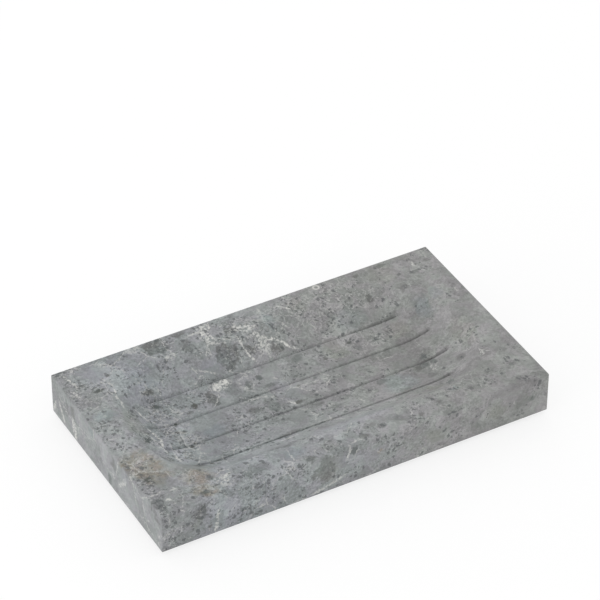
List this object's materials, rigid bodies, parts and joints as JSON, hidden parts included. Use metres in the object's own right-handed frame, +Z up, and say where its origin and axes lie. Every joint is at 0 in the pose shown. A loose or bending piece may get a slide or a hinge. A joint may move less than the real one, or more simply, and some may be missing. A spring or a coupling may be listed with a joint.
{
  "type": "soap dish",
  "caption": "Rectangular stone soap dish with a shallow coved hollow, lengthwise drain grooves and soft stick-on feet.",
  "frame": {"origin": "middle of the surface that the feet stand on, under the centre of the dish", "axes": "+X along the length, +Y to the back, +Z up"},
  "size_m": [0.145, 0.08, 0.017],
  "materials": {
    "honed_marble": "honed, matte",
    "foot_pad": "soft matte silicone rubber",
    "adhesive": "thin double-sided film"
  },
  "bodies": {
    "root": {"stone_tray": "honed_marble", "foot_pad_front_left": "foot_pad", "foot_pad_front_right": "foot_pad", "foot_pad_rear_left": "foot_pad", "foot_pad_rear_right": "foot_pad", "adhesive_disc_front_left": "adhesive", "adhesive_disc_front_right": "adhesive", "adhesive_disc_rear_left": "adhesive", "adhesive_disc_rear_right": "adhesive"}
  },
  "joints": []
}
